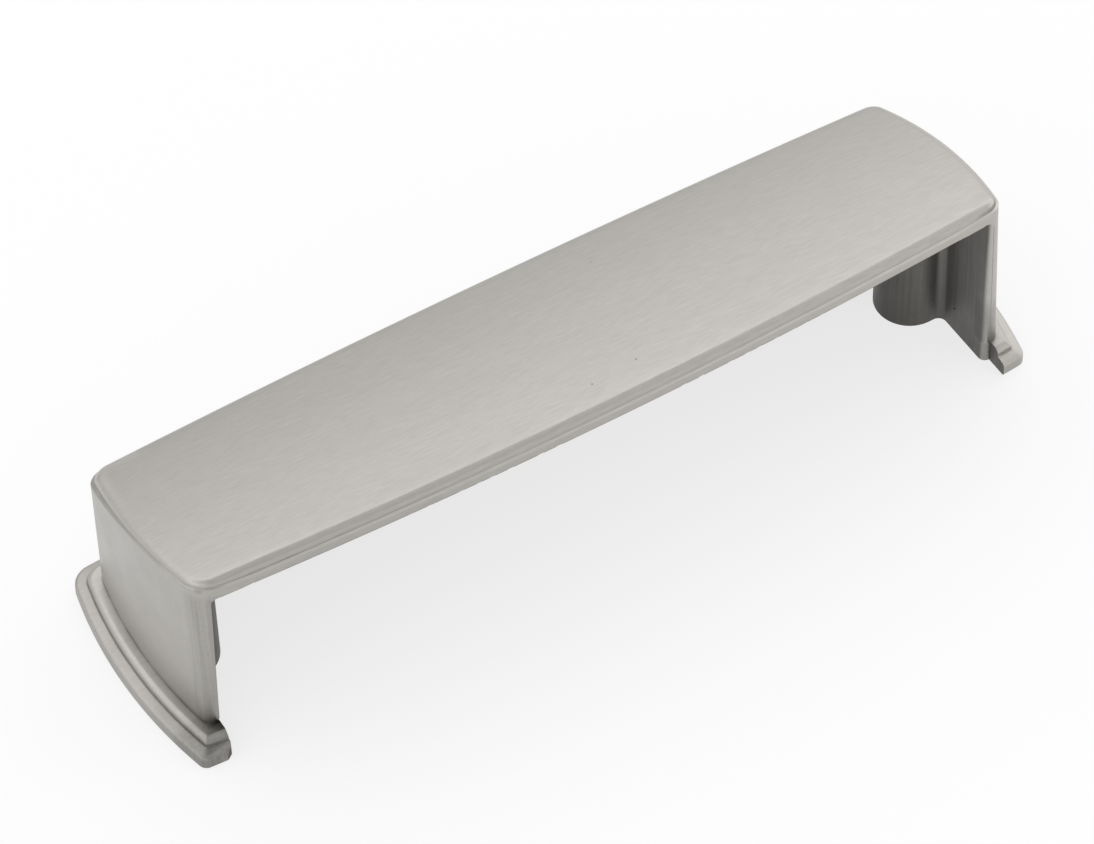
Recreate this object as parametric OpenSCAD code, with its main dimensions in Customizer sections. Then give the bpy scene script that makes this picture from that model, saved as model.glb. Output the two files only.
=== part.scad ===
// Cup pull for a drawer: one casting, screwed on from behind.
// X runs along the length, +Z stands off the drawer front, and the finger side is open towards -Y.
// The mounting face lies at Z = 0 and the origin is midway between the two screw holes.

/* [Front face] */
// Height of the front face above the mounting plane, on the screw line
face_h = 24.5; // [18:0.5:34]
// Tilt of the front face: the finger edge stands further out than the back edge
face_tilt = 13.3; // [4:0.1:16]
// Crown radius of the front face, across its width
crown_r = 140; // [80:5:300]
// Thickness of the front face
plate_t = 2.4; // [1.6:0.1:3.5]
// Rounding of the front face's rim
rim_r = 0.95; // [0.5:0.05:1.2]
// Width of the small step below the rim
rim_step = 0.2; // [0.15:0.05:0.4]
// Rounding of the step's edge
step_r = 0.1; // [0.05:0.05:0.15]

/* [Plan] */
// Distance from the middle to the outside of an end wall, at its widest
end_x = 52.7; // [52.2:0.05:58]
// Draft of an end wall: how much further in its outside is at the rim than at its foot
end_draft = 0.65; // [0:0.05:0.8]
// Radius of the outward bow of the end walls
end_bow_r = 58; // [45:1:120]
// Finger edge at mid-length, measured from the screw line
near_y = 14.4; // [13:0.1:16]
// Radius of the bow of the finger edge
near_bow_r = 690; // [500:10:1600]
// Back edge at mid-length, measured from the screw line
far_y = 13.55; // [12:0.05:18]
// Radius of the bow of the back wall
far_bow_r = 1030; // [500:10:2000]
// Plan radius of the two corners at the finger side
near_corner_r = 1.3; // [1.1:0.1:2]
// Plan radius of the two corners at the back
far_corner_r = 1.5; // [1.2:0.1:4]

/* [Walls] */
// Distance from the middle to the inside of an end wall
end_inner_x = 49.55; // [49:0.05:49.7]
// Thickness of the back wall
back_t = 2.1; // [1.5:0.1:3]
// Rounding of the hollow's corners at the back
back_corner_r = 0.6; // [0.3:0.1:2]
// Rounding of the free inner edge of each end wall
lip_r = 0.4; // [0.2:0.05:0.6]
// The same rounding at the foot of each end wall
foot_lip_r = 1; // [0.8:0.05:1]

/* [Moulding] */
// Height of the base moulding
moulding_h = 3.1; // [2.9:0.1:4.4]
// How far the moulding stands out from the wall
moulding_p = 2.9; // [2.5:0.05:4]
// Width of the upper ledge
ledge_w = 1; // [0.8:0.05:1.3]
// Rounding of the ledge's edge
ledge_r = 0.25; // [0.1:0.05:0.4]
// Radius of the cove between the ledge and the toe
cove_r = 0.5; // [0.3:0.05:0.6]
// How far the cove dips below the toe's upper edge
cove_d = 0.2; // [0:0.05:0.3]
// Height of the toe
toe_h = 2.1; // [1.8:0.05:2.2]
// Rounding of the toe's upper edge
toe_r = 0.35; // [0.25:0.05:0.6]
// Rounding of the toe's lower edge
heel_r = 0.3; // [0.15:0.05:0.45]
// Plan radius of the toe's corners at the finger side
foot_corner_r = 1.1; // [0.6:0.1:1.6]
// Where the moulding stops on the finger side, measured from the middle
wrap_x = 50.6; // [50.4:0.05:50.9]

/* [Screw holes] */
// Spacing of the two screw holes
hole_spacing = 96; // [90:0.5:96.5]
// Radius of each screw boss
boss_r = 4.15; // [3.4:0.05:5]
// Fillet between a boss and its end wall
boss_fillet_r = 0.6; // [0.3:0.1:1.2]
// Tapping drill radius
hole_r = 1.65; // [1.4:0.05:2.1]
// Depth of the full bore
hole_depth = 13; // [8:0.5:15]
// Countersink at the mouth of the bore
hole_chamfer = 0.4; // [0.2:0.05:0.6]

/* [Hidden] */
metal = "#BDBAB5";
// point counts along the outline
n_long = 10;
n_near = 6;
n_end = 14;
n_far = 8;
n_half = 2 * n_long + n_near + n_end + n_far;
n_ring = 2 * n_half;
// crown axis of the front face
axis_y = -crown_r * sin(face_tilt);
axis_z = face_h - crown_r * cos(face_tilt);
// centres of the plan arcs
near_c = [0, near_bow_r - near_y];
far_c = [0, far_y - far_bow_r];
hole_x = hole_spacing / 2;
// outreach of the cutters, overlaps of joined forms and the smallest corner of an inset ring
reach = 40;
overlap = 0.8;
seam = 0.05;
least_r = 0.05;

// crossing of two circles; side picks one of the two
function crossing(c0, r0, c1, r1, side) =
    let (v = c1 - c0, d = norm(v), u = v / d)
    let (a = (r0 * r0 - r1 * r1 + d * d) / (2 * d))
    let (h = sqrt(max(0, r0 * r0 - a * a)))
    c0 + a * u + side * h * [-u[1], u[0]];

function heading(v) = atan2(v[1], v[0]);

// n steps of an arc, without its last point
function arc(c, r, a0, a1, n) =
    [for (i = [0:n - 1]) let (a = a0 + (a1 - a0) * i / n) c + r * [cos(a), sin(a)]];

// centre of an end wall's bow; lean is how far the wall has come in at that height
function end_c(lean) = [end_x - lean - end_bow_r, 0];

function near_corner(inset, r, lean) =
    crossing(end_c(lean), end_bow_r - inset - r, near_c, near_bow_r - inset - r, -1);

function far_corner(inset, r, lean) =
    crossing(end_c(lean), end_bow_r - inset - r, far_c, far_bow_r - inset - r, 1);

// right half of the plan, from the finger edge to the back edge; inset is negative outside the wall
function half_plan(inset, rn, rf, lean) =
    let (pn = near_corner(inset, rn, lean), pf = far_corner(inset, rf, lean), ce = end_c(lean))
    let (a1 = heading(pn - near_c), a2 = heading(pn - ce))
    let (a3 = heading(pf - ce), a4 = heading(pf - far_c))
    concat(
        arc(near_c, near_bow_r - inset, -90, a1, n_long),
        arc(pn, rn, a1, a2, n_near),
        arc(ce, end_bow_r - inset, a2, a3, n_end),
        arc(pf, rf, a3, a4, n_far),
        arc(far_c, far_bow_r - inset, a4, 90, n_long),
        [[0, far_y - inset]]
    );

function plan(inset, rn, rf, lean) =
    let (h = half_plan(inset, rn, rf, lean))
    concat(h, [for (i = [n_half - 1:-1:1]) [-h[i][0], h[i][1]]]);

// height of the front face over a point of the plan
function face_z(y) = axis_z + sqrt(crown_r * crown_r - (y - axis_y) * (y - axis_y));

// moulding profile, from the mounting plane up to the ledge: [distance out, height]
cove_p = ledge_w + cove_r;
cove_z = toe_h - cove_d;
function moulding_profile() = concat(
    [for (a = [-90:30:0]) [moulding_p - heel_r + heel_r * cos(a), heel_r + heel_r * sin(a)]],
    [for (a = [0:30:90]) [moulding_p - toe_r + toe_r * cos(a), toe_h - toe_r + toe_r * sin(a)]],
    [for (a = [0:30:90]) [cove_p - cove_r * sin(a), cove_z + cove_r * (1 - cos(a))]],
    [for (a = [0:30:90]) [ledge_w - ledge_r + ledge_r * cos(a), moulding_h - ledge_r + ledge_r * sin(a)]]
);

function ring_flat(p, z) =
    [for (q = plan(-p, foot_corner_r * p / moulding_p, far_corner_r + p, 0)) [q[0], q[1], z]];

function ring_face(inset, drop) =
    let (rn = max(near_corner_r - inset, least_r), rf = max(far_corner_r - inset, least_r))
    [for (q = plan(inset, rn, rf, end_draft)) [q[0], q[1], face_z(q[1]) - drop]];

function ring_wall(z) = [for (q = plan(0, near_corner_r, far_corner_r, 0)) [q[0], q[1], z]];

// rings of the outer skin, from the mounting plane to the middle of the front face
inset_max = 0.43 * (near_y + far_y);
rim_w = rim_step + rim_r;
rings = concat(
    [for (m = moulding_profile()) ring_flat(m[0], m[1])],
    [ring_wall(moulding_h)],
    [for (a = [0:45:90]) ring_face(step_r * (1 - cos(a)), rim_r + step_r * (1 - sin(a)))],
    [for (a = [0:15:90]) ring_face(rim_step + rim_r * (1 - cos(a)), rim_r * (1 - sin(a)))],
    [for (k = [1:5]) ring_face(rim_w + (inset_max - rim_w) * k / 5, 0)]
);
n_rings = len(rings);
last = (n_rings - 1) * n_ring;

// faces between two neighbouring rings
function skin(k) = [for (i = [0:n_ring - 1], t = [0, 1])
    let (a = k * n_ring + i, b = k * n_ring + (i + 1) % n_ring)
    t == 0 ? [a, b + n_ring, b] : [a, a + n_ring, b + n_ring]];

// index of a point of the last ring, on the right or left half
function at(i, s) = last + (s > 0 ? i : (n_ring - i) % n_ring);

function turn(f, s) = s > 0 ? [f[0], f[2], f[1]] : f;

// strips that close the middle of the front face
function closing(s) = concat(
    [for (j = [0:n_long - 1], t = [0, 1])
        turn(t == 0 ? [at(j, s), at(j + 1, s), at(n_half - j - 1, s)]
            : [at(j, s), at(n_half - j - 1, s), at(n_half - j, s)], s)],
    [for (i = [n_long + 1:n_half - n_long - 1]) turn([at(n_long, s), at(i, s), at(i + 1, s)], s)]
);

module outer_skin() {
    polyhedron(
        points = [for (r = rings, q = r) q],
        faces = concat(
            [[for (i = [0:n_ring - 1]) i]],
            [for (k = [0:n_rings - 2], f = skin(k)) f],
            closing(1),
            closing(-1)
        ),
        convexity = 6
    );
}

// everything below the crowned face, lowered by drop
module below_face(drop) {
    translate([0, axis_y, axis_z])
        rotate([0, 90, 0])
            cylinder(r = crown_r - drop, h = 3 * end_x, center = true, $fn = 240);
}

// plan of the finger hollow behind the free edges of the end walls
module hollow_plan() {
    r = back_corner_r;
    far_r = far_bow_r - back_t;
    cy = far_c[1] + sqrt((far_r - r) * (far_r - r) - (end_inner_x - r) * (end_inner_x - r));
    intersection() {
        translate(far_c)
            circle(r = far_r, $fn = 720);
        union() {
            translate([-end_inner_x, -reach])
                square([2 * end_inner_x, reach + cy]);
            translate([-end_inner_x + r, -1])
                square([2 * (end_inner_x - r), reach]);
            for (s = [-1, 1])
                translate([s * (end_inner_x - r), cy])
                    circle(r = r, $fn = 64);
        }
    }
}

// widening of the hollow where the free edges of the end walls are rounded by r, out to a limit
module mouth_plan(r, limit) {
    pn = near_corner(0, near_corner_r, 0);
    cx = end_inner_x + r;
    // the rounding meets the corner's arc, or the finger edge's bow where that lies further in
    c = cx > pn[0] ? pn : near_c;
    bow = cx > pn[0] ? near_corner_r : near_bow_r;
    cy = c[1] - sqrt(max(0, pow(bow - r, 2) - pow(cx - c[0], 2)));
    tip = min(limit, c[0] + bow * (cx - c[0]) / (bow - r));
    difference() {
        translate([-tip, -reach])
            square([2 * tip, reach + cy]);
        for (s = [-1, 1])
            translate([s * cx, cy])
                circle(r = r, $fn = 48);
    }
}

module hollow() {
    intersection() {
        union() {
            translate([0, 0, -1])
                linear_extrude(height = 2 * face_h)
                    hollow_plan();
            translate([0, 0, moulding_h - seam])
                linear_extrude(height = 2 * face_h)
                    mouth_plan(lip_r, end_x);
            translate([0, 0, -1])
                linear_extrude(height = moulding_h + 1 + seam)
                    mouth_plan(foot_lip_r, wrap_x);
        }
        below_face(plate_t);
    }
}

module boss_plan() {
    wall = end_inner_x - hole_x;
    circle(r = boss_r, $fn = 96);
    translate([0, -boss_r])
        square([wall + overlap, 2 * boss_r]);
    for (s = [0, 1])
        mirror([0, s])
            difference() {
                translate([wall - boss_fillet_r, boss_r - overlap])
                    square([boss_fillet_r + overlap, boss_fillet_r + overlap]);
                translate([wall - boss_fillet_r, boss_r + boss_fillet_r])
                    circle(r = boss_fillet_r, $fn = 48);
            }
}

module bosses() {
    intersection() {
        for (s = [0, 1])
            mirror([s, 0, 0])
                translate([hole_x, 0, 0])
                    linear_extrude(height = 2 * face_h)
                        boss_plan();
        below_face(plate_t / 2);
    }
}

module screw_hole() {
    translate([0, 0, -1])
        cylinder(r = hole_r, h = hole_depth + 1, $fn = 48);
    translate([0, 0, hole_depth])
        cylinder(r1 = hole_r, r2 = least_r, h = hole_r * 0.6, $fn = 48);
    translate([0, 0, -0.01])
        cylinder(r1 = hole_r + hole_chamfer, r2 = hole_r, h = hole_chamfer, $fn = 48);
}

module cup_pull() {
    color(metal)
        difference() {
            union() {
                difference() {
                    outer_skin();
                    hollow();
                }
                bosses();
            }
            for (s = [-1, 1])
                translate([s * hole_x, 0, 0])
                    screw_hole();
        }
}

cup_pull();
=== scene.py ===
"""Satin nickel cup pull, lying on its mounting face in plain studio light."""
import math

import bmesh
import bpy
from mathutils import Matrix, Vector
from mathutils.geometry import delaunay_2d_cdt


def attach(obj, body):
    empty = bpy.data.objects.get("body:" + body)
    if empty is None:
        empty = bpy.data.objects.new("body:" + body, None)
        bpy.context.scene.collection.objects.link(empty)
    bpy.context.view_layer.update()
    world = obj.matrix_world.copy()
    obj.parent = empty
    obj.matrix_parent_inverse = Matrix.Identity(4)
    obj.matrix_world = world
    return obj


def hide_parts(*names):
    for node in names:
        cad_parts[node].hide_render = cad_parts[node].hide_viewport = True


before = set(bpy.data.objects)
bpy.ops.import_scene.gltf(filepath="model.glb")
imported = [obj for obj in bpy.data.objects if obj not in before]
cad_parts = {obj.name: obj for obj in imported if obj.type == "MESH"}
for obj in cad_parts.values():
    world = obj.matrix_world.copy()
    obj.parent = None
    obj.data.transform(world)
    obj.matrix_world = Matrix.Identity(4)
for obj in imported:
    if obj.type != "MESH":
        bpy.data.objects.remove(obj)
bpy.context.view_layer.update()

QUARTER = math.pi / 2
# Millimetres to metres, a hair small so that the finer arcs stay inside the source's box
MM = 0.0009994

# Sizes of the casting in millimetres, as in the part's source
FACE_H = 24.5
FACE_TILT = math.radians(13.3)
CROWN_R = 140.0
PLATE_T = 2.4
RIM_STEP = 0.2
END_X = 52.7
END_BOW_R = 58.0
NEAR_Y = 14.4
NEAR_BOW_R = 690.0
FAR_Y = 13.55
FAR_BOW_R = 1030.0
FAR_CORNER_R = 1.5
BACK_T = 2.1
LIP_R = 0.4
MOULDING_H = 3.1
MOULDING_P = 2.9
HEEL_R = 0.3
FOOT_CORNER_R = 1.1
WRAP_X = 50.6
HOLE_X = 48.0
BOSS_R = 4.15
HOLE_R = 1.65
HOLE_DEPTH = 13.0
HOLE_CHAMFER = 0.4

AXIS_Y = -CROWN_R * math.sin(FACE_TILT)
AXIS_Z = FACE_H - CROWN_R * math.cos(FACE_TILT)
NEAR_C = Vector((0.0, NEAR_BOW_R - NEAR_Y))
FAR_C = Vector((0.0, FAR_Y - FAR_BOW_R))

# From here to the pits: forms finer than the source's or slightly other sizes, in millimetres.
# Where a size has one value for each side, the right end comes first and the left end second.
SIDES = (0, 1)

# Front: a thicker lip, rounder corners, and a rim with a lower ledge and a soft roll-off
LIP_DROP = 0.3
PLATE_EDGE_R = 0.15
NEAR_CORNER_TOP_R = (2.0, 3.2)
NEAR_CORNER_FOOT_R = (1.3, 2.1)
FAR_CORNER_TOP_R = (2.1, 2.8)
LEDGE_DROP = 0.765
NEAR_LEDGE_DROP = 0.4
RIM_END_STEP = 0.25
RIM_DROP = 0.75
RIM_STEEP = 0.55
RIM_STEEP_LOW = math.radians(15)
RIM_STEEP_TOP = math.radians(65)
RIM_ROLL = 0.6
RIM_ROLL_DROP = 0.2
# Rings run in over this share of the face's width, and strips across fill its middle
FACE_RING_SHARE = 0.43
# Least radius of a corner
LEAST_R = 0.05

# End walls: their lean, how much further out they start, and the left one's bulge at the back
END_DRAFT = (0.52, 0.3)
END_OUT = (0.35, 0.0)
FAR_BULGE = 0.35
FAR_BULGE_LEAST = 0.3
BULGE_X = (40, 50)
BULGE_Y = (0, 12)

# Moulding: two soft beads, with centres and the upper one's radii as (outward, upward)
LOW_BEAD = (2.37, 1.35)
LOW_BEAD_R = 0.5
LOW_BEAD_TURN = math.radians(78)
HIGH_BEAD = (0.82, 2.25)
HIGH_BEAD_R = (0.74, 0.85)
FAR_FOOT_GROWTH = 0.4

# Worn near end of the left foot: its beads are rubbed to a slope and its tip is cut back
WORN_Z = 0.9
WORN_SLOPE = 0.9
WORN_X = (52.4, 51.0)
WORN_TIP = 0.95
WORN_TIP_Y = (14.6, 15.5)

# Hollow: draft inside the end walls, rounded lips and small fillets
END_INNER_X = 49.7
INNER_DRAFT = 0.4
LIP_FOOT_R = 0.8
FOOT_LIP_R = 0.9
WRAP_X_LEFT = 49.95
INNER_FILLET_R = 0.9
BACK_CORNER_R = 1.0
BOSS_FILLET_R = 1.0

# Small pits as the photograph shows them: three in the face, and one low on the right inner wall
FACE_PITS = ((-1.37, -10.43), (4.53, -9.92), (9.61, 7.51))
FACE_PIT_LIFT = 0.075
FACE_PIT_R = 0.145
# The face pits count this much as inside and the wall pit wholly, which gives them painted shade and
# more roughness
FACE_PIT_MARK = 0.3
WALL_PIT = (49.58, -6.5, 3.8)
WALL_PIT_R = 0.26

# Cutters: how far they reach past the casting and into each other, and the cone at a hole's end
REACH = 24.0
HOLLOW_START = -1.0
HOLE_START = -0.5
OVERLAP = 0.001
DRILL_TIP = 0.6
DRILL_TIP_R = 0.1
# Points along the cut ends of the moulding
CUT_Y = (-15.8, -15.55, -15.3, -15.05, -14.8, -14.5)

# Points along half of the outline, round the hollow's curves, along the rim, on cutters and pits
N_LONG, N_NEAR, N_END, N_FAR = 48, 14, 40, 20
N_LIP, N_FILLET, N_BOSS, N_BACK = 16, 10, 48, 14
N_STEEP, N_ROLL, N_FACE = 10, 6, 12
N_HEEL, N_LOW_BEAD, N_HIGH_BEAD = 6, 8, 10
N_UNDER, N_HOLE, N_PIT_ROUND, N_PIT_DOWN = 8, 64, 20, 10
CUT_SEGMENTS = 2 + len(CUT_Y)
LIP_SEGMENTS = CUT_SEGMENTS + N_LIP
SHARP_ANGLE = math.radians(32)

# Points that carry the underside's curve: a grid, and rows along the finger edge
GRID_START = (-46.0, 1.0 - REACH)
GRID_STEP = (2.0, 1.5)
GRID_COUNT = (47, 24)
EDGE_ROWS = range(-1, 8)
EDGE_ROWS_PER_R = 6
EDGE_TURN = 0.0655
EDGE_POINTS = 60
SNAP = 1e-5
# Limits how far a sharp corner goes when a loop is moved inward
MITRE_LEAST = 0.5

# Tones on the outer form: below 0 is painted shade in a crease, above 0 a painted highlight on an
# edge
# Painted shade at the heel by the floor and at the low bead's foot, a painted highlight on the high
# bead's shoulder
HEEL_TONE = -0.5
LOW_BEAD_TONE = -0.4
HIGH_BEAD_TONE = 0.3
# Between the two beads, and the ledge inside them, as (distance out, height, tone), the tones painted
# shade in their creases
BEAD_CREASE = ((1.8, 1.98, -0.1), (1.68, 2.0, -0.6), (1.62, 2.02, -1.0), (1.59, 2.08, -0.6))
MOULDING_LEDGE = ((0.2, MOULDING_H, -0.2), (0.1, MOULDING_H, -0.8))
# Foot of the walls, as (height above the moulding, tone), the tones painted shade where the walls
# meet the ledge
WALL_FOOT = ((0.0, -1.0), (0.12, -0.7), (0.3, -0.15), (0.8, 0.0))
# Top of the walls and the rim's ledge, as (inset, drop below the face, painted shade, painted
# highlight)
RIM_LEDGE = (
    (0.0, 1.3, 0.0, 0.0),
    (0.0, 1.04, 0.0, 0.4),
    (0.012, 0.98, 0.0, 0.9),
    (0.045, 0.93, 0.0, 1.0),
    (0.12, 0.87, 0.0, 0.7),
    (RIM_STEP - 0.02, 0.82, 0.5, 0.0),
    (RIM_STEP + 0.01, 0.785, 1.0, 0.0),
)
# Painted shade at the foot of the rim's steep part
STEEP_DARK = (0.8, 0.3, 0.1)
# Spans of the finger edge and of the rim's two ends, in millimetres
FINGER_Y = (8, 11.5)
FINGER_X = 50
FINGER_FADE_X = 50.5
FINGER_FADE = 6
RIM_END_X = (46, 50)
# Painted shade under the rim, a painted glint on the left end's fillet, a painted dark line at the
# right end, painted shade on the left ledge
CREASE_LEAST = 0.2
CREASE_X = (12, 45)
CREASE_END = (1.6, 0.6)
GLINT = 0.6
GLINT_X = -45
GLINT_Y = (0, 11)
GLINT_MARGIN = 0.1
LINE = 1.7
LINE_AT = 0.03
LINE_W = 0.17
LEDGE_SHADE = 0.4
# Least mark of the lower cutter's lips, and the segments over which a lip turns to inside
LOWER_LIP_MARK = 0.5
LIP_TURN = (13.5, 23.5)

# Finish: colour, with painted shade and painted light, and where they change in metres, from the
# first value of a span to the second
NICKEL = (0.46, 0.444, 0.417, 1.0)
LEFT_LEG_X = (-0.0478, -0.0490)
LEG_Y = (-0.0098, -0.0112)
LEFT_LEG_TOP = (0.0240, 0.0250)
RIGHT_LEG_X = (0.0485, 0.0492)
RIGHT_LEG_FOOT = (0.0028, 0.0034)
RIGHT_LEG_TOP = (0.0075, 0.0115)
LEFT_FOOT_X = (-0.049, -0.050)
LEFT_FOOT_TOP = (0.0026, 0.0032)
LENGTH_X = (-0.05, 0.05)
INSIDE_Z = (0.0, 0.022)
BOSS_X = (0.0438, 0.0468)
# Two darker spots at the left leg's near corner, one at the wall's foot and one under the rim, and
# the dull left foot, as (point, inner distance, outer distance) in millimetres
LOW_DARK_SPOT = ((-50.2, -12.5, 3.1), 0.2, 1.6)
HIGH_DARK_SPOT = ((-50.9, -12.2, 25.8), 0.1, 1.0)
DULL_FOOT = ((-52.5, -15.0, 1.5), 1.0, 12.0)
# Spans of the noises, the darkest tone, and each effect's factor or change of brightness
LINES_SPAN = (0.75, 1.25)
NOISE_SPAN = (0.3, 0.7)
PATCHY_SPAN = (0.35, 0.6)
PATCHY_LEVEL = (0.5, 1.0)
DARKEST = 2.0
LINES_LEVEL = (0.95, 1.05)
# Painted light along the length: darker at the left end, lighter at the right
LENGTH_LEVEL = (0.97, 1.03)
# Painted shade in creases and painted highlights on edges, from the tones
CREASE_LEVEL = 0.2
EDGE_LEVEL = 1.2
DARK_SPOT_LEVEL = 0.6
DULL_FOOT_LEVEL = 0.8
LEFT_LEG_LEVEL = 0.86
# Painted shade inside the hollow, deepest at the mounting plane; more painted shade over its middle
# and painted light on the bosses
INSIDE_CHANGE = (-0.76, -0.66)
BOSS_CHANGE = (-0.25, 0.1)
INSIDE_STREAKS = (-0.12, 0.12)
LEFT_LEG_STREAKS = (-0.09, 0.09)
# Painted shade low on the left foot, by the floor
LEFT_FOOT_CHANGE = -0.1
RIGHT_LEG_CHANGE = -0.25
ROUGHNESS = (0.34, 0.42)
INSIDE_ROUGHNESS = 0.12
BUMP_STRENGTH = 0.12
BUMP_DISTANCE = 0.00005

# Studio: brightness all round, what the two sides add, the far side at the horizon and overhead
SKY_BASE = 0.75
SKY_SIDES = 0.8
SKY_FAR_LOW = -0.43
SKY_FAR_HIGH = 1.16
SKY_FAR_Y = (0.0, 0.7)
FLOOR_GLOW = 0.75
FLOOR_SIZE = 6.0
FLOOR_COLOUR = (0.9, 0.9, 0.9, 1.0)

# The camera's place and aim, as fitted to the photograph
CAM_AZIMUTH = math.radians(-30.413)
CAM_ELEVATION = math.radians(50.359)
CAM_ROLL = math.radians(-1.485)
CAM_PLACE = (-0.178401, -0.302277, 0.432330)
CAM_CLIP = 0.01
FOCAL_PX = 4944.5
IMAGE_W = 1094
SENSOR_MM = 36.0


def crossing(c0, r0, c1, r1, side):
    """One of the two points where two circles cross."""
    v = c1 - c0
    d = v.length
    u = v / d
    a = (r0 * r0 - r1 * r1 + d * d) / (2 * d)
    h = math.sqrt(max(0.0, r0 * r0 - a * a))
    return c0 + u * a + Vector((-u.y, u.x)) * (side * h)


def heading(v):
    """Angle of a direction."""
    return math.atan2(v.y, v.x)


def arc(c, r, a0, a1, n, last=False):
    """n steps of an arc, with or without its last point."""
    steps = range(n + 1 if last else n)
    angles = [a0 + (a1 - a0) * i / n for i in steps]
    return [c + Vector((math.cos(a), math.sin(a))) * r for a in angles]


def quarter_turn(n):
    """Angles of a quarter turn in n steps."""
    return [QUARTER * i / n for i in range(n + 1)]


def smooth(value, low, high):
    """0 up to low, 1 from high, with a soft change between them."""
    t = min(max((value - low) / (high - low), 0.0), 1.0)
    return t * t * (3 - 2 * t)


def end_c(lean):
    """Centre of an end wall's bow, where the wall has come in by lean."""
    return Vector((END_X - lean - END_BOW_R, 0.0))


def near_corner(inset, r, lean):
    """Centre of the corner at the finger edge."""
    return crossing(end_c(lean), END_BOW_R - inset - r, NEAR_C, NEAR_BOW_R - inset - r, -1)


def far_corner(inset, r, lean):
    """Centre of the corner at the back edge."""
    return crossing(end_c(lean), END_BOW_R - inset - r, FAR_C, FAR_BOW_R - inset - r, 1)


def half_plan(inset, near_r, far_r, lean):
    """Right half of the outline, from the finger edge to the back edge."""
    near = near_corner(inset, near_r, lean)
    far = far_corner(inset, far_r, lean)
    end = end_c(lean)
    a1, a2 = heading(near - NEAR_C), heading(near - end)
    a3, a4 = heading(far - end), heading(far - FAR_C)
    pts = arc(NEAR_C, NEAR_BOW_R - inset, -QUARTER, a1, N_LONG)
    pts += arc(near, near_r, a1, a2, N_NEAR)
    pts += arc(end, END_BOW_R - inset, a2, a3, N_END)
    pts += arc(far, far_r, a3, a4, N_FAR)
    pts += arc(FAR_C, FAR_BOW_R - inset, a4, QUARTER, N_LONG)
    return pts + [Vector((0.0, FAR_Y - inset))]


def mirrored(right, left):
    """Full loop from two right halves that end on the mirror plane, the second one mirrored."""
    return right + [Vector((-p.x, p.y)) for p in reversed(left[1:-1])]


def both_halves(inset, near_r, far_r, leans, bulge):
    """Whole outline from sizes for its two ends, with the left one pushed out at the back."""
    right, left = (half_plan(inset, *sizes) for sizes in zip(near_r, far_r, leans))
    for p in left:
        p.x += bulge * smooth(p.y, *BULGE_Y) * smooth(p.x, *BULGE_X)
    return mirrored(right, left)


def rise(z):
    """Share of the end wall's height, from the moulding's ledge to the face."""
    return min(max((z - MOULDING_H) / (FACE_H - MOULDING_H), 0.0), 1.0)


def corner_r(z, side):
    """Radius of a finger edge's corner at a height."""
    foot_r, top_r = NEAR_CORNER_FOOT_R[side], NEAR_CORNER_TOP_R[side]
    return foot_r + (top_r - foot_r) * rise(z)


def draft(z, side):
    """How far an end wall has come in at a height."""
    return END_DRAFT[side] * rise(z) - END_OUT[side] * (1 - rise(z))


def face_z(y):
    """Height of the front face."""
    return AXIS_Z + math.sqrt(CROWN_R ** 2 - (y - AXIS_Y) ** 2)


def under_z(y):
    """Height of the front face's underside."""
    return AXIS_Z + math.sqrt((CROWN_R - PLATE_T - LIP_DROP) ** 2 - (y - AXIS_Y) ** 2)


def bridge(k, n):
    """Quads between ring k and the next one, for rings of n points."""
    low, high = k * n, (k + 1) * n
    pairs = [(i, (i + 1) % n) for i in range(n)]
    return [(low + i, low + j, high + j, high + i) for i, j in pairs]


def moulding_profile():
    """Moulding from the mounting plane up to its ledge, as (distance out, height, tone)."""
    pts = []
    for a in quarter_turn(N_HEEL):
        out = MOULDING_P - HEEL_R + HEEL_R * math.sin(a)
        pts.append((out, HEEL_R - HEEL_R * math.cos(a), HEEL_TONE))
    for i in range(N_LOW_BEAD + 1):
        a = LOW_BEAD_TURN * i / N_LOW_BEAD
        out = LOW_BEAD[0] + LOW_BEAD_R * math.cos(a)
        z = LOW_BEAD[1] + LOW_BEAD_R * math.sin(a)
        pts.append((out, z, LOW_BEAD_TONE if i == 0 else 0.0))
    pts += BEAD_CREASE
    for a in quarter_turn(N_HIGH_BEAD):
        out = HIGH_BEAD[0] + HIGH_BEAD_R[0] * math.cos(a)
        z = HIGH_BEAD[1] + HIGH_BEAD_R[1] * math.sin(a)
        pts.append((out, z, HIGH_BEAD_TONE * math.sin(2 * a) ** 2))
    pts += MOULDING_LEDGE
    return pts


def worn_out(out, z):
    """Distance out at the left foot's worn end, where the beads are rubbed to a slope."""
    return min(out, MOULDING_P - max(z - WORN_Z, 0.0) * WORN_SLOPE)


def worn_share(p):
    """How worn a point of the left foot is: 1 at its near end, 0 along its side."""
    if p.y < 0:
        return smooth(-p.x, -WORN_X[0], -WORN_X[1])
    return 0.0


def foot_plan(out, lean):
    """Right half of the moulding's outline at a distance out from the walls."""
    near_r = max(FOOT_CORNER_R * (out / MOULDING_P) ** 2, LEAST_R)
    return half_plan(-out, near_r, FAR_CORNER_R + FAR_FOOT_GROWTH * out, lean)


def moulding_rings():
    """The moulding's rings from the mounting plane upwards, each as (points, tones)."""
    rings = []
    for out, z, tone in moulding_profile():
        right = foot_plan(out, -END_OUT[0] * max(1 - out / HIGH_BEAD[0], 0.0))
        left = foot_plan(out, 0.0)
        wear_and_painted_light = foot_plan(worn_out(out, z), 0.0)
        left = [p.lerp(q, worn_share(p)) for p, q in zip(left, wear_and_painted_light)]
        loop = mirrored(right, left)
        rings.append(([(p.x, p.y, z) for p in loop], [tone] * len(loop)))
    return rings


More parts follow.
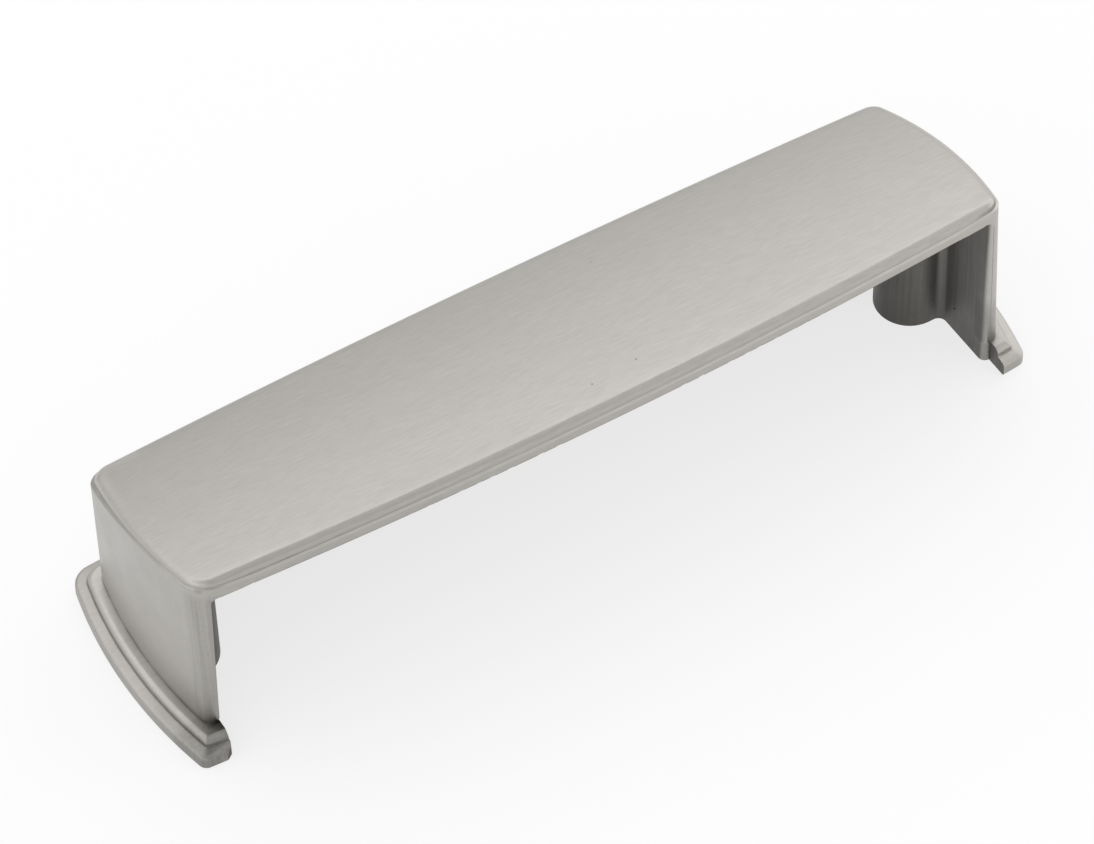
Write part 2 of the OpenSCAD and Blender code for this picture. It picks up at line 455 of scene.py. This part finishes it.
def wall_rings():
    """Rings at the foot of the walls, each as (points, tones)."""
    rings = []
    for height, tone in WALL_FOOT:
        z = MOULDING_H + height
        near_r = [corner_r(z, side) for side in SIDES]
        leans = [draft(z, side) for side in SIDES]
        far_r = [FAR_CORNER_R for side in SIDES]
        loop = both_halves(0.0, near_r, far_r, leans, FAR_BULGE * rise(z))
        rings.append(([(p.x, p.y, z) for p in loop], [tone] * len(loop)))
    return rings


def rim_levels():
    """From the top of the walls to the face, as (inset, drop, painted shade, painted highlight), and
    the rim's width.
    """
    levels = list(RIM_LEDGE)
    low, top = math.sin(RIM_STEEP_LOW), math.sin(RIM_STEEP_TOP)
    for i in range(N_STEEP):
        a = RIM_STEEP_LOW + (RIM_STEEP_TOP - RIM_STEEP_LOW) * i / (N_STEEP - 1)
        share = (top - math.sin(a)) / (top - low)
        inset = RIM_STEP + RIM_STEEP * (1 - math.cos(a))
        drop = RIM_ROLL_DROP + (RIM_DROP - RIM_ROLL_DROP) * share
        dark = STEEP_DARK[i] if i < len(STEEP_DARK) else 0.0
        levels.append((inset, drop, dark, 0.0))
    steep_w = levels[-1][0]
    for k in range(1, N_ROLL + 1):
        drop = RIM_ROLL_DROP * (1 - k / N_ROLL) ** 2
        levels.append((steep_w + RIM_ROLL * k / N_ROLL, drop, 0.0, 0.0))
    rim_w = levels[-1][0]
    inset_max = FACE_RING_SHARE * (NEAR_Y + FAR_Y)
    for k in range(1, N_FACE + 1):
        levels.append((rim_w + (inset_max - rim_w) * k / N_FACE, 0.0, 0.0, 0.0))
    return levels, rim_w


def rim_crease(p):
    """Painted shade under the rim as a dark line: faint along most of the finger edge, stronger to
    its left.
    """
    if p.y < -FINGER_Y[0] and abs(p.x) < FINGER_X:
        return CREASE_LEAST + (1 - CREASE_LEAST) * smooth(-p.x, *CREASE_X)
    return CREASE_END[0] if p.x > 0 else CREASE_END[1]


def finger_edge(p):
    """1 along the finger edge, fading out towards its corners."""
    return smooth(-p.y, *FINGER_Y) * smooth(FINGER_FADE_X - abs(p.x), 0, FINGER_FADE)


def rim_rings():
    """Rings from the top of the walls to the middle of the face, each as (points, tones)."""
    rings = []
    levels, rim_w = rim_levels()
    for inset, drop, dark, bright in levels:
        near_r = [max(r - inset, LEAST_R) for r in NEAR_CORNER_TOP_R]
        far_r = [max(r - inset, LEAST_R) for r in FAR_CORNER_TOP_R]
        leans = (END_DRAFT[0] + RIM_END_STEP * min(inset / RIM_STEP, 1.0), END_DRAFT[1])
        bulge = FAR_BULGE * max(1 - inset / RIM_STEP, FAR_BULGE_LEAST)
        loop = both_halves(inset, near_r, far_r, leans, bulge)
        lower = NEAR_LEDGE_DROP * min(drop / LEDGE_DROP, 1.0)
        ring = [(p.x, p.y, face_z(p.y) - drop - lower * finger_edge(p)) for p in loop]
        on_fillet = RIM_STEP + GLINT_MARGIN < inset < rim_w + GLINT_MARGIN
        ledge = LEDGE_SHADE if 0 < inset < RIM_STEP else 0.0
        line = LINE * max(1 - abs(inset - RIM_STEP - LINE_AT) / LINE_W, 0.0)
        tones = []
        for p in loop:
            left_end, right_end = smooth(-p.x, *RIM_END_X), smooth(p.x, *RIM_END_X)
            glint = GLINT * smooth(p.y, *GLINT_Y) if on_fillet and p.x < GLINT_X else 0.0
            # A painted highlight along the ledge's edge, and at the left end painted shade on the
            # ledge instead
            wear_and_painted_light = bright * (1 - left_end) - ledge * left_end
            # Less the darker of two painted shades: the crease under the rim and the dark line at the
            # right end
            tones.append(wear_and_painted_light + glint - max(dark * rim_crease(p), line * right_end))
        rings.append((ring, tones))
    return rings


def skin_faces(count, n):
    """Faces of the outer form: its foot, the bands between rings, and strips across the face."""
    faces = [tuple(reversed(range(n)))]
    for k in range(count - 1):
        faces += bridge(k, n)
    last = (count - 1) * n
    half = n // 2
    for j in range(N_LONG):
        faces.append((last + j, last + j + 1, last + half - j - 1, last + half - j))
        faces.append(tuple(last + (n - i) % n for i in (j, half - j, half - j - 1, j + 1)))
    faces.append(tuple(last + i for i in range(N_LONG, half - N_LONG + 1)))
    faces.append(tuple(last + n - i for i in range(half - N_LONG, N_LONG - 1, -1)))
    return faces


def outer_skin():
    """Closed outer form before the hollow is cut, from the mounting plane to the face's middle."""
    rings = moulding_rings() + wall_rings() + rim_rings()
    verts = [v for points, _ in rings for v in points]
    tones = [tone for _, ring_tones in rings for tone in ring_tones]
    faces = skin_faces(len(rings), len(rings[0][0]))
    return verts, faces, [0.0] * len(faces), tones


def hollow_half(lip_r, limit, z, side, wear_and_painted_light):
    """Half of the hollow's outline, from the mouth's middle round a boss to the back's middle."""
    inner_x = END_INNER_X - INNER_DRAFT * z / FACE_H
    wall_r = corner_r(z, side)
    wall = near_corner(0.0, wall_r, draft(z, side))
    lip = Vector((inner_x + lip_r, 0.0))
    bow_c, bow_r = (wall, wall_r) if lip.x > wall.x else (NEAR_C, NEAR_BOW_R)
    lip.y = bow_c.y - math.sqrt((bow_r - lip_r) ** 2 - (lip.x - bow_c.x) ** 2)
    stop = min(limit, lip.x + lip_r * math.cos(heading(lip - bow_c)))
    stop_angle = -math.acos((stop - lip.x) / lip_r)
    back_r = FAR_BOW_R - BACK_T
    corner = Vector((inner_x - BACK_CORNER_R, 0.0))
    corner.y = FAR_C.y + math.sqrt((back_r - BACK_CORNER_R) ** 2 - corner.x ** 2)
    corner_end = heading(corner - FAR_C)
    fillet_x = inner_x - BOSS_FILLET_R
    fillet_y = BOSS_R + BOSS_FILLET_R
    pts = [Vector((0.0, -REACH)), Vector((stop + wear_and_painted_light, -REACH))]
    pts += [Vector((stop + wear_and_painted_light * smooth(-y, *WORN_TIP_Y), y)) for y in CUT_Y]
    pts += arc(lip, lip_r, stop_angle, -math.pi, N_LIP, True)
    pts += arc(Vector((fillet_x, -fillet_y)), BOSS_FILLET_R, 0.0, QUARTER, N_FILLET, True)
    pts += arc(Vector((HOLE_X, 0.0)), BOSS_R, -QUARTER, -3 * QUARTER, N_BOSS, True)
    pts += arc(Vector((fillet_x, fillet_y)), BOSS_FILLET_R, -QUARTER, 0.0, N_FILLET, True)
    pts += arc(corner, BACK_CORNER_R, 0.0, corner_end, N_BACK)
    pts += arc(FAR_C, back_r, corner_end, QUARTER, N_LONG)
    return pts + [Vector((0.0, FAR_Y - BACK_T))]


def lip_mark(j, z):
    """How far inside segment j of the mouth is: 0 on a wall's lip, more at the moulding's ends."""
    least = 0.0
    if z <= 0:
        least = 1.0 if j < CUT_SEGMENTS else LOWER_LIP_MARK
    return max(least, smooth(j, *LIP_TURN))


def hollow_loop(lip_r, limits, z, wear_and_painted_light=0.0):
    """Hollow's whole outline, and how far inside each of its segments is."""
    right = hollow_half(lip_r, limits[0], z, 0, 0.0)
    left = hollow_half(lip_r, limits[1], z, 1, wear_and_painted_light)
    loop = mirrored(right, left)
    n = len(loop)
    marks = [1.0] * n
    for j in range(LIP_SEGMENTS):
        marks[j] = marks[n - 1 - j] = lip_mark(j, z)
    return loop, marks


def inward(loop, depth):
    """Loop moved to its left by a depth, which is into the hollow."""
    out = []
    n = len(loop)
    for i, p in enumerate(loop):
        before, after = (p - loop[i - 1]).normalized(), (loop[(i + 1) % n] - p).normalized()
        mid = before + after
        normal = Vector((-mid.y, mid.x)).normalized()
        across = normal.dot(Vector((-before.y, before.x)))
        out.append(p + normal * (depth / max(MITRE_LEAST, across)))
    return out


def hollow_top(x, y):
    """Underside of the front face, rounded up where it meets the finger edge."""
    inset = NEAR_BOW_R - (Vector((x, y)) - NEAR_C).length
    d = min(max(inset, 0.0), PLATE_EDGE_R)
    flare = PLATE_EDGE_R - math.sqrt(PLATE_EDGE_R ** 2 - (PLATE_EDGE_R - d) ** 2)
    return under_z(y) + flare


def underside_points():
    """Points for the underside of the front face: a grid, and rows along the finger edge."""
    pts = []
    for i in range(GRID_COUNT[0]):
        x = GRID_START[0] + i * GRID_STEP[0]
        pts += [Vector((x, GRID_START[1] + j * GRID_STEP[1])) for j in range(GRID_COUNT[1])]
    for k in EDGE_ROWS:
        inset = PLATE_EDGE_R * k / EDGE_ROWS_PER_R
        half = arc(NEAR_C, NEAR_BOW_R - inset, -QUARTER, -QUARTER + EDGE_TURN, EDGE_POINTS)
        pts += half + [Vector((-p.x, p.y)) for p in half[1:]]
    return pts


def hollow_upper():
    """Cutter for the hollow above the moulding, with a fillet under the front face."""
    foot_z = MOULDING_H + OVERLAP / 2
    foot, _ = hollow_loop(LIP_FOOT_R, (END_X, END_X), foot_z)
    loop, marks = hollow_loop(LIP_R, (END_X, END_X), FACE_H)
    n = len(loop)
    rings = [[(p.x, p.y, foot_z) for p in foot]]
    for a in quarter_turn(N_UNDER):
        depth = INNER_FILLET_R * (1 - math.cos(a))
        drop = INNER_FILLET_R * (1 - math.sin(a))
        rings.append([(p.x, p.y, hollow_top(p.x, p.y) - drop) for p in inward(loop, depth)])
    verts = [v for ring in rings for v in ring]
    faces = [tuple(reversed(range(n)))]
    inside = [1.0]
    for k in range(len(rings) - 1):
        faces += bridge(k, n)
        inside += marks
    last = (len(rings) - 1) * n
    points = [Vector(v[:2]) for v in rings[-1]] + underside_points()
    edges = [(i, (i + 1) % n) for i in range(n)]
    flat, _, tris, sources, _, _ = delaunay_2d_cdt(points, edges, [], 1, SNAP)
    index = []
    for p, source in zip(flat, sources):
        ring_point = next((k for k in source if k < n), None)
        if ring_point is not None:
            index.append(last + ring_point)
        else:
            index.append(len(verts))
            verts.append((p.x, p.y, hollow_top(p.x, p.y)))
    faces += [tuple(index[i] for i in tri) for tri in tris]
    return verts, faces, inside + [1.0] * len(tris)


def hollow_lower():
    """Cutter for the hollow between the two ends of the moulding."""
    loop, marks = hollow_loop(FOOT_LIP_R, (WRAP_X, WRAP_X_LEFT), 0.0, WORN_TIP)
    n = len(loop)
    verts = [(p.x, p.y, z) for z in (HOLLOW_START, MOULDING_H + OVERLAP) for p in loop]
    faces = [tuple(reversed(range(n)))] + bridge(0, n) + [tuple(range(n, 2 * n))]
    return verts, faces, [1.0] + marks + [1.0]


def screw_hole(x):
    """Cutter for a blind tapped hole: a chamfered mouth, the bore and the drill's cone."""
    mouth_r = HOLE_R + HOLE_CHAMFER
    profile = [(mouth_r, HOLE_START), (mouth_r, 0.0), (HOLE_R, HOLE_CHAMFER)]
    profile += [(HOLE_R, HOLE_DEPTH), (DRILL_TIP_R, HOLE_DEPTH + DRILL_TIP * HOLE_R)]
    n = N_HOLE
    turns = [2 * math.pi * i / n for i in range(n)]
    verts = [(x + r * math.cos(a), r * math.sin(a), z) for r, z in profile for a in turns]
    faces = [tuple(reversed(range(n)))]
    for k in range(len(profile) - 1):
        faces += bridge(k, n)
    last = (len(profile) - 1) * n
    return verts, faces + [tuple(range(last, last + n))]


def pit(x, y, z, r):
    """Cutter for a small pit: a ball at a point of the surface."""
    n, m = N_PIT_ROUND, N_PIT_DOWN
    turns = [2 * math.pi * i / n for i in range(n)]
    verts = [(x, y, z - r)]
    for j in range(1, m):
        a = math.pi * j / m
        ring_r, ring_z = r * math.sin(a), z - r * math.cos(a)
        verts += [(x + ring_r * math.cos(b), y + ring_r * math.sin(b), ring_z) for b in turns]
    verts.append((x, y, z + r))
    top = len(verts) - 1
    faces = [(0, 1 + (i + 1) % n, 1 + i) for i in range(n)]
    for j in range(m - 2):
        faces += [tuple(1 + i for i in quad) for quad in bridge(j, n)]
    k = 1 + (m - 2) * n
    return verts, faces + [(k + i, k + (i + 1) % n, top) for i in range(n)]


def solid(name, verts, faces, inside=None, tones=None):
    """Mesh object from points in millimetres, with marks for inner faces and a tone at each point."""
    mesh = bpy.data.meshes.new(name)
    mesh.from_pydata([tuple(c * MM for c in v) for v in verts], [], faces)
    tone = mesh.attributes.new("tone", "FLOAT", "POINT")
    tone.data.foreach_set("value", tones or [0.0] * len(verts))
    marks = mesh.attributes.new("inside", "FLOAT", "FACE")
    marks.data.foreach_set("value", inside or [1.0] * len(faces))
    bm = bmesh.new()
    bm.from_mesh(mesh)
    bmesh.ops.recalc_face_normals(bm, faces=bm.faces)
    bm.to_mesh(mesh)
    bm.free()
    obj = bpy.data.objects.new(name, mesh)
    bpy.context.collection.objects.link(obj)
    return obj


def cut(obj, tools):
    """Takes the tools out of obj and deletes them."""
    for tool in tools:
        mod = obj.modifiers.new("cut", "BOOLEAN")
        mod.operation = "DIFFERENCE"
        mod.solver = "MANIFOLD"
        mod.object = tool
    depsgraph = bpy.context.evaluated_depsgraph_get()
    mesh = bpy.data.meshes.new_from_object(obj.evaluated_get(depsgraph))
    obj.modifiers.clear()
    old = obj.data
    obj.data = mesh
    bpy.data.meshes.remove(old)
    for tool in tools:
        bpy.data.objects.remove(tool)


def build_pull():
    """The casting as one smooth mesh."""
    pull = solid("pull_casting", *outer_skin())
    tools = [
        solid("hollow_upper", *hollow_upper()),
        solid("hollow_lower", *hollow_lower()),
        solid("hole_left", *screw_hole(-HOLE_X)),
        solid("hole_right", *screw_hole(HOLE_X)),
    ]
    for x, y in FACE_PITS:
        verts, faces = pit(x, y, face_z(y) + FACE_PIT_LIFT, FACE_PIT_R)
        tools.append(solid("pit", verts, faces, [FACE_PIT_MARK] * len(faces)))
    tools.append(solid("pit", *pit(*WALL_PIT, WALL_PIT_R)))
    cut(pull, tools)
    pull.data.shade_smooth()
    pull.data.set_sharp_from_angle(angle=SHARP_ANGLE)
    return pull


def node(tree, kind, **values):
    """New shader node with its plain attributes set."""
    new = tree.nodes.new(kind)
    for key, value in values.items():
        setattr(new, key, value)
    return new


def ramp(tree, source, low, high, to_low, to_high, kind="LINEAR"):
    """Map Range node's result."""
    part = node(tree, "ShaderNodeMapRange", interpolation_type=kind)
    names = ("From Min", "From Max", "To Min", "To Max")
    for name, value in zip(names, (low, high, to_low, to_high)):
        part.inputs[name].default_value = value
    tree.links.new(source, part.inputs["Value"])
    return part.outputs["Result"]


def combine(tree, operation, *sources):
    """Math node's result from sockets and numbers."""
    part = node(tree, "ShaderNodeMath", operation=operation)
    for socket, source in zip(part.inputs, sources):
        if isinstance(source, float):
            socket.default_value = source
        else:
            tree.links.new(source, socket)
    return part.outputs["Value"]


def brushed_nickel():
    """Satin nickel with fine brush lines, rougher inside, with painted shade inside the hollow and in
    creases and painted highlights on edges.
    """
    mat = bpy.data.materials.new("satin_nickel_brushed")
    mat.use_nodes = True
    tree = mat.node_tree
    shader = tree.nodes["Principled BSDF"]
    shader.inputs["Metallic"].default_value = 1.0
    coords = node(tree, "ShaderNodeTexCoord")
    place = coords.outputs["Object"]
    split = node(tree, "ShaderNodeSeparateXYZ")
    tree.links.new(place, split.inputs["Vector"])
    x, y, z = (split.outputs[axis] for axis in "XYZ")

    def streaks(scale, detail, turn=0.0):
        """Noise stretched by a scale for each axis, turned by some degrees about the height."""
        mapping = node(tree, "ShaderNodeMapping")
        mapping.inputs["Scale"].default_value = scale
        mapping.inputs["Rotation"].default_value = (0.0, 0.0, math.radians(turn))
        tree.links.new(place, mapping.inputs["Vector"])
        noise = node(tree, "ShaderNodeTexNoise")
        noise.inputs["Scale"].default_value = 1.0
        noise.inputs["Detail"].default_value = detail
        noise.inputs["Roughness"].default_value = 0.6
        tree.links.new(mapping.outputs["Vector"], noise.inputs["Vector"])
        return noise.outputs["Fac"]

    def near(point, inner, outer):
        """1 within the inner distance of a point in millimetres, 0 beyond the outer one."""
        gap = node(tree, "ShaderNodeVectorMath", operation="DISTANCE")
        gap.inputs[1].default_value = tuple(c / 1000 for c in point)
        tree.links.new(place, gap.inputs[0])
        return falling(gap.outputs["Value"], (inner / 1000, outer / 1000), "SMOOTHSTEP")

    def attribute(name):
        return node(tree, "ShaderNodeAttribute", attribute_name=name).outputs["Fac"]

    def product(*sources):
        result = sources[0]
        for source in sources[1:]:
            result = combine(tree, "MULTIPLY", result, source)
        return result

    def rising(source, span, kind="LINEAR"):
        """0 at a span's first value, 1 at its second."""
        return ramp(tree, source, *span, 0.0, 1.0, kind)

    def falling(source, span, kind="LINEAR"):
        """1 at a span's first value, 0 at its second."""
        return ramp(tree, source, *span, 1.0, 0.0, kind)

    def towards(mask, level):
        """1 where a mask is 0, and the level where it is 1."""
        return ramp(tree, mask, 0.0, 1.0, 1.0, level)

    def changed(mask, change):
        """1 where a mask is 0, and 1 plus the change where it is 1."""
        return combine(tree, "MULTIPLY_ADD", mask, change, 1.0)

    fine = streaks((620.0, 6200.0, 6200.0), 3.0, 2.0)
    crossed = streaks((420.0, 4800.0, 4800.0), 2.0, -3.0)
    lines = combine(tree, "ADD", fine, crossed)
    upright = streaks((2600.0, 2600.0, 45.0), 2.0)
    broad = streaks((30.0, 260.0, 260.0), 2.0)
    blotches = streaks((260.0, 260.0, 260.0), 3.0)

    tone, inside = attribute("tone"), attribute("inside")
    patchy = ramp(tree, blotches, *PATCHY_SPAN, *PATCHY_LEVEL)
    # Painted shade where the tone is below 0, patchy; a painted highlight where it is above 0
    crease = product(ramp(tree, tone, -DARKEST, 0.0, DARKEST, 0.0), patchy)
    edge = rising(tone, (0.0, 1.0))
    leg_y = rising(y, LEG_Y, "SMOOTHSTEP")
    left_leg = product(rising(x, LEFT_LEG_X, "SMOOTHSTEP"), leg_y, falling(z, LEFT_LEG_TOP))
    right_leg = product(
        rising(x, RIGHT_LEG_X),
        leg_y,
        falling(z, RIGHT_LEG_TOP, "SMOOTHSTEP"),
        rising(z, RIGHT_LEG_FOOT),
    )
    # Low on the left foot, where painted shade goes
    left_foot = product(falling(z, LEFT_FOOT_TOP), rising(x, LEFT_FOOT_X))
    dark_spots = combine(tree, "MAXIMUM", near(*LOW_DARK_SPOT), near(*HIGH_DARK_SPOT))
    along = combine(tree, "ABSOLUTE", x)

    level = product(
        ramp(tree, lines, *LINES_SPAN, *LINES_LEVEL),
        # painted light along the length
        ramp(tree, x, *LENGTH_X, *LENGTH_LEVEL),
        # painted shade inside the hollow
        changed(inside, ramp(tree, z, *INSIDE_Z, *INSIDE_CHANGE)),
        # painted shade in creases
        ramp(tree, crease, 0.0, DARKEST, 1.0, CREASE_LEVEL),
        # painted highlight on edges
        towards(edge, EDGE_LEVEL),
        # darker at two spots of the left leg's near corner
        towards(dark_spots, DARK_SPOT_LEVEL),
        towards(near(*DULL_FOOT), DULL_FOOT_LEVEL),
        # painted shade low on the left foot
        changed(left_foot, LEFT_FOOT_CHANGE),
        changed(right_leg, RIGHT_LEG_CHANGE),
        changed(inside, ramp(tree, upright, *NOISE_SPAN, *INSIDE_STREAKS)),
        # painted shade over the hollow's middle, painted light on the bosses
        changed(inside, ramp(tree, along, *BOSS_X, *BOSS_CHANGE)),
        towards(left_leg, LEFT_LEG_LEVEL),
        changed(left_leg, ramp(tree, upright, *NOISE_SPAN, *LEFT_LEG_STREAKS)),
    )
    colour = node(tree, "ShaderNodeMix", data_type="RGBA", blend_type="MULTIPLY")
    colour.inputs["Factor"].default_value = 1.0
    colour.inputs["A"].default_value = NICKEL
    tree.links.new(level, colour.inputs["B"])
    tree.links.new(colour.outputs["Result"], shader.inputs["Base Color"])
    outside_rough = ramp(tree, broad, *NOISE_SPAN, *ROUGHNESS)
    inside_rough = ramp(tree, inside, 0.0, 1.0, 0.0, INSIDE_ROUGHNESS)
    roughness = combine(tree, "ADD", outside_rough, inside_rough)
    tree.links.new(roughness, shader.inputs["Roughness"])
    bump = node(tree, "ShaderNodeBump")
    bump.inputs["Strength"].default_value = BUMP_STRENGTH
    bump.inputs["Distance"].default_value = BUMP_DISTANCE
    tree.links.new(lines, bump.inputs["Height"])
    tree.links.new(bump.outputs["Normal"], shader.inputs["Normal"])
    return mat


def floor_material():
    """White matt floor that partly glows for the camera and reflections, and keeps a shadow."""
    mat = bpy.data.materials.new("pale_floor")
    mat.use_nodes = True
    tree = mat.node_tree
    shader = tree.nodes["Principled BSDF"]
    shader.inputs["Base Color"].default_value = FLOOR_COLOUR
    shader.inputs["Roughness"].default_value = 1.0
    shader.inputs["Specular IOR Level"].default_value = 0.0
    path = node(tree, "ShaderNodeLightPath")
    seen = combine(tree, "ADD", path.outputs["Is Camera Ray"], path.outputs["Is Glossy Ray"])
    seen = combine(tree, "ADD", seen, path.outputs["Is Transmission Ray"])
    seen = combine(tree, "MINIMUM", seen, 1.0)
    glow = node(tree, "ShaderNodeEmission")
    mix = node(tree, "ShaderNodeMixShader")
    tree.links.new(combine(tree, "MULTIPLY", seen, FLOOR_GLOW), mix.inputs[0])
    tree.links.new(shader.outputs["BSDF"], mix.inputs[1])
    tree.links.new(glow.outputs["Emission"], mix.inputs[2])
    tree.links.new(mix.outputs["Shader"], tree.nodes["Material Output"].inputs["Surface"])
    return mat


def add_floor():
    """The floor that the pull lies on, as stage."""
    bpy.ops.mesh.primitive_plane_add(size=FLOOR_SIZE, location=(0.0, 0.0, 0.0))
    floor = bpy.context.object
    floor.name = "floor"
    floor.data.materials.append(floor_material())


def add_light():
    """Soft light from all round: brighter at both sides, and upwards on the far side."""
    world = bpy.data.worlds.new("studio")
    world.use_nodes = True
    tree = world.node_tree
    background = tree.nodes["Background"]
    coords = node(tree, "ShaderNodeTexCoord")
    split = node(tree, "ShaderNodeSeparateXYZ")
    tree.links.new(coords.outputs["Generated"], split.inputs["Vector"])

    far = ramp(tree, split.outputs["Y"], *SKY_FAR_Y, 0.0, 1.0, "SMOOTHSTEP")
    height = ramp(tree, split.outputs["Z"], 0.0, 1.0, SKY_FAR_LOW, SKY_FAR_HIGH)
    sides = combine(tree, "MULTIPLY", split.outputs["X"], split.outputs["X"])
    level = combine(tree, "MULTIPLY_ADD", sides, SKY_SIDES, SKY_BASE)
    level = combine(tree, "MULTIPLY_ADD", far, height, level)
    tree.links.new(level, background.inputs["Strength"])
    background.inputs["Color"].default_value = (1.0, 1.0, 1.0, 1.0)
    bpy.context.scene.world = world


def add_camera():
    """The camera as the photograph's was."""
    az, el = CAM_AZIMUTH, CAM_ELEVATION
    back = Vector((math.sin(az) * math.cos(el), -math.cos(az) * math.cos(el), math.sin(el)))
    right = Vector((math.cos(az), math.sin(az), 0.0))
    up = back.cross(right)
    c, s = math.cos(CAM_ROLL), math.sin(CAM_ROLL)
    right, up = right * c + up * s, up * c - right * s
    data = bpy.data.cameras.new("photo_camera")
    data.sensor_fit = "HORIZONTAL"
    data.sensor_width = SENSOR_MM
    data.lens = SENSOR_MM * FOCAL_PX / IMAGE_W
    data.clip_start = CAM_CLIP
    camera = bpy.data.objects.new("photo_camera", data)
    turn = Matrix((right, up, back)).transposed().to_4x4()
    camera.matrix_world = Matrix.Translation(CAM_PLACE) @ turn
    bpy.context.collection.objects.link(camera)
    bpy.context.scene.camera = camera


add_camera()
pull = build_pull()
pull.data.materials.clear()
pull.data.materials.append(brushed_nickel())
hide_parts("cup_pull")
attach(pull, "root")
add_floor()
add_light()
bpy.context.scene.view_settings.view_transform = "Standard"
